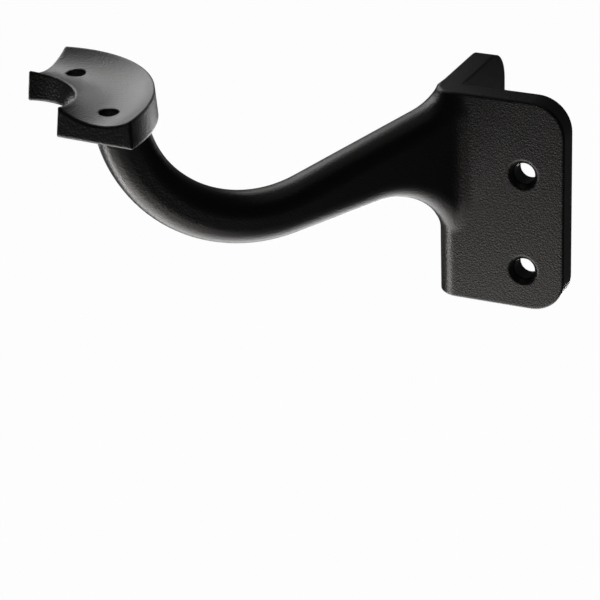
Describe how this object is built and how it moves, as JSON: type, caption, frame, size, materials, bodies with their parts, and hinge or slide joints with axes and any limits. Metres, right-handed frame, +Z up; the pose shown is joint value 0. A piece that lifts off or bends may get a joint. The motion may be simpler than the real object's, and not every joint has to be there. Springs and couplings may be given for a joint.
{
  "type": "handrail bracket",
  "caption": "Cast bracket that holds a handrail elbow off the corner of a square post: V plate, dipping arm and curved saddle, all with screw holes.",
  "frame": {"origin": "the post's corner edge, where the two inner faces of the V plate meet, at the middle of the plate's height", "axes": "-X along the arm to the saddle, +Z up along the post's corner edge, the two legs of the plate run back to +X at 45 degrees"},
  "size_m": [0.1369, 0.0592, 0.0776],
  "materials": {
    "black_powder_coat": "satin, fine-textured black powder coat"
  },
  "bodies": {
    "root": {"bracket_casting": "black_powder_coat"}
  },
  "joints": []
}
